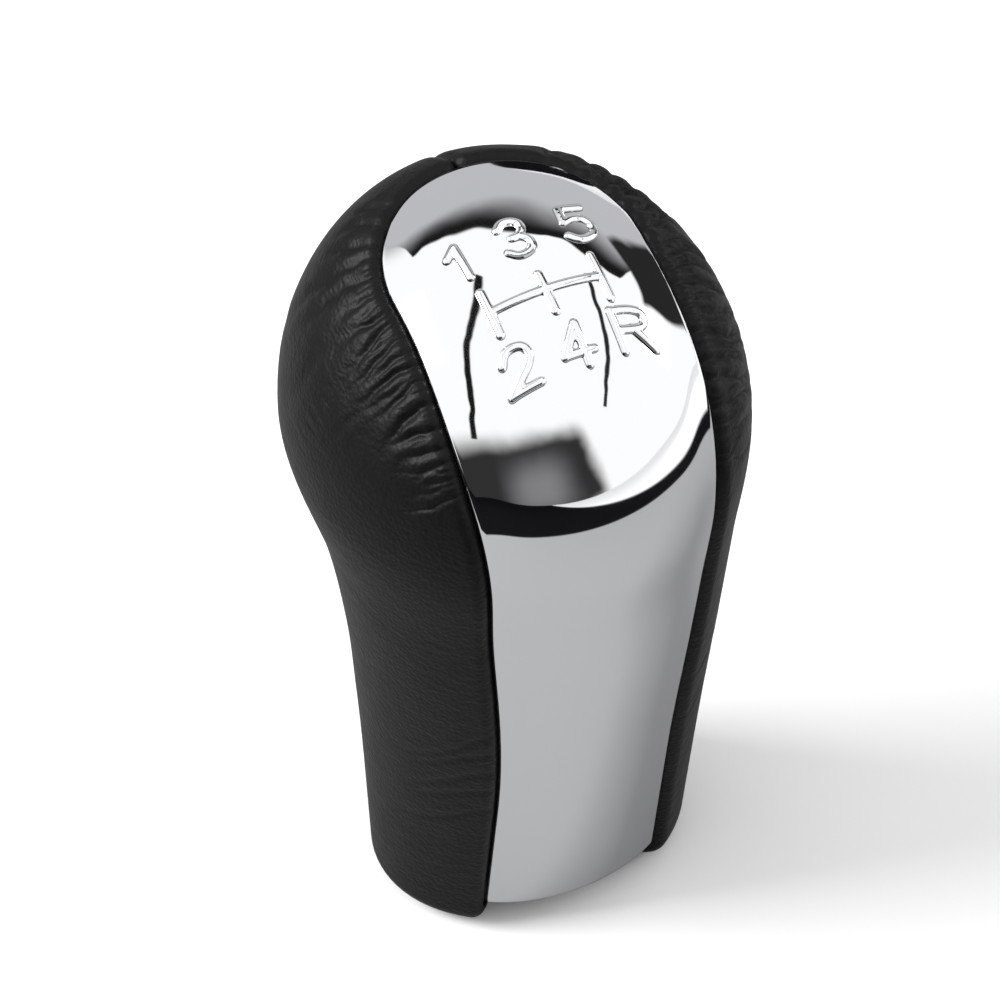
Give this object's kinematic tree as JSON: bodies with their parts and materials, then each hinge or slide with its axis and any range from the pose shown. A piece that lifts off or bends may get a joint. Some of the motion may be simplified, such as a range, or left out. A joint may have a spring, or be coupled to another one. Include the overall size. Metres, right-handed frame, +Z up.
{
  "type": "gear shift knob",
  "caption": "Pear-shaped car gear knob with a mirror chrome strip over its dome, black leather side panels and a threaded bush in its base.",
  "frame": {"origin": "centre of the lever thread's mouth, on the plane that the base stands on", "axes": "+Z up along the lever, -Y towards the chrome strip and the driver, +X to the driver's right"},
  "size_m": [0.0476, 0.0512, 0.0895],
  "materials": {
    "core_plastic": "moulded, matte",
    "bush_brass": "turned",
    "cap_plastic": "moulded, fine grain",
    "trim_chrome": "mirror plated plastic",
    "leather_black": "soft, fine grain"
  },
  "bodies": {
    "root": {"core": "core_plastic", "threaded_insert": "bush_brass", "base_cap": "cap_plastic", "chrome_trim": "trim_chrome", "leather_left": "leather_black", "leather_right": "leather_black"}
  },
  "joints": []
}
